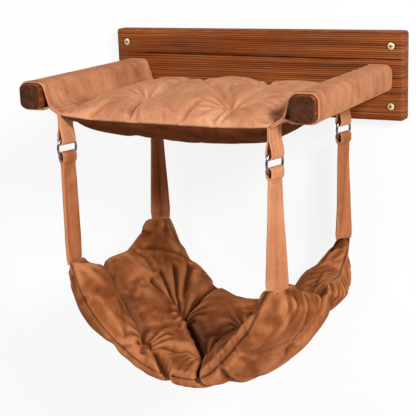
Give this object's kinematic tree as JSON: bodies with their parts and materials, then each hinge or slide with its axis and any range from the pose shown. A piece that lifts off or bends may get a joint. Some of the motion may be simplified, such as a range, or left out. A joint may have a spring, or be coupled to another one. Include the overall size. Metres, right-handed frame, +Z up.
{
  "type": "cat wall shelf",
  "caption": "Wooden wall board with arms that carry a tufted padded sling seat, and a tufted padded hammock for a cat hung below it on straps and rings.",
  "frame": {"origin": "middle of the wall board's back face, on the wall", "axes": "+X along the wall, +Y into the wall (the room is towards -Y), +Z up"},
  "size_m": [0.42, 0.312, 0.4273],
  "materials": {
    "stained_wood": "brown stain, satin, raised grain",
    "brass_screw": "pale bright plating",
    "steel_screw": "zinc plated",
    "velvet": "short soft pile",
    "wadding": "loose fibre",
    "thread": "matt sewing thread",
    "ring_metal": "polished dark nickel"
  },
  "bodies": {
    "wall_frame": {"wall_board": "stained_wood", "left_arm": "stained_wood", "right_arm": "stained_wood", "arm_screws": "steel_screw", "wall_screws": "brass_screw"},
    "sling": {"seat_cover": "velvet", "seat_filling": "wadding", "seat_tuft_ties": "thread", "left_sleeve": "velvet", "right_sleeve": "velvet", "front_left_tab": "velvet", "front_right_tab": "velvet", "rear_left_tab": "velvet", "rear_right_tab": "velvet"},
    "front_left_ring": {"front_left_ring": "ring_metal"},
    "front_right_ring": {"front_right_ring": "ring_metal"},
    "rear_left_ring": {"rear_left_ring": "ring_metal"},
    "rear_right_ring": {"rear_right_ring": "ring_metal"},
    "front_left_strap": {"front_left_strap": "velvet"},
    "front_right_strap": {"front_right_strap": "velvet"},
    "rear_left_strap": {"rear_left_strap": "velvet"},
    "rear_right_strap": {"rear_right_strap": "velvet"},
    "front_left_foot": {"front_left_foot_stitch": "thread"},
    "hammock": {"hammock_cover": "velvet", "hammock_filling": "wadding", "hammock_tuft_ties": "thread", "front_right_foot_stitch": "thread", "rear_left_foot_stitch": "thread", "rear_right_foot_stitch": "thread"}
  },
  "joints": [
    {"name": "sling_slide", "type": "slide", "parent": "wall_frame", "child": "sling", "axis": [0, -1, 0], "range_m": [0, 0.26]},
    {"name": "front_left_side_swing", "type": "hinge", "parent": "sling", "child": "front_left_ring", "pos_m": [-0.138, -0.254, -0.05574], "axis": [0.2588, 0.9659, 0], "range_deg": [-14, 14]},
    {"name": "front_left_fore_swing", "type": "hinge", "parent": "front_left_ring", "child": "front_left_strap", "pos_m": [-0.138, -0.254, -0.065], "axis": [0.9659, -0.2588, 0], "range_deg": [-14, 9]},
    {"name": "front_right_side_swing", "type": "hinge", "parent": "sling", "child": "front_right_ring", "pos_m": [0.138, -0.254, -0.05574], "axis": [0.2588, 0.9659, 0], "range_deg": [-14, 14]},
    {"name": "front_right_fore_swing", "type": "hinge", "parent": "front_right_ring", "child": "front_right_strap", "pos_m": [0.138, -0.254, -0.065], "axis": [0.9659, -0.2588, 0], "range_deg": [-14, 9]},
    {"name": "rear_left_side_swing", "type": "hinge", "parent": "sling", "child": "rear_left_ring", "pos_m": [-0.138, -0.04, -0.05574], "axis": [0.2588, 0.9659, 0], "range_deg": [-14, 14]},
    {"name": "rear_left_fore_swing", "type": "hinge", "parent": "rear_left_ring", "child": "rear_left_strap", "pos_m": [-0.138, -0.04, -0.065], "axis": [0.9659, -0.2588, 0], "range_deg": [-14, 9]},
    {"name": "rear_right_side_swing", "type": "hinge", "parent": "sling", "child": "rear_right_ring", "pos_m": [0.138, -0.04, -0.05574], "axis": [0.2588, 0.9659, 0], "range_deg": [-14, 14]},
    {"name": "rear_right_fore_swing", "type": "hinge", "parent": "rear_right_ring", "child": "rear_right_strap", "pos_m": [0.138, -0.04, -0.065], "axis": [0.9659, -0.2588, 0], "range_deg": [-14, 9]},
    {"name": "foot_fore_level", "type": "hinge", "parent": "front_left_strap", "child": "front_left_foot", "pos_m": [-0.138, -0.254, -0.216], "axis": [0.9659, -0.2588, 0], "range_deg": [-9, 14]},
    {"name": "hammock_side_level", "type": "hinge", "parent": "front_left_foot", "child": "hammock", "pos_m": [-0.138, -0.254, -0.216], "axis": [0.2588, 0.9659, 0], "range_deg": [-14, 14]}
  ],
  "couplings": [
    {"joint": "front_right_side_swing", "follows": "front_left_side_swing", "ratio": 1},
    {"joint": "front_right_fore_swing", "follows": "front_left_fore_swing", "ratio": 1},
    {"joint": "rear_left_side_swing", "follows": "front_left_side_swing", "ratio": 1},
    {"joint": "rear_left_fore_swing", "follows": "front_left_fore_swing", "ratio": 1},
    {"joint": "rear_right_side_swing", "follows": "front_left_side_swing", "ratio": 1},
    {"joint": "rear_right_fore_swing", "follows": "front_left_fore_swing", "ratio": 1},
    {"joint": "foot_fore_level", "follows": "front_left_fore_swing", "ratio": -1},
    {"joint": "hammock_side_level", "follows": "front_left_side_swing", "ratio": -1}
  ]
}
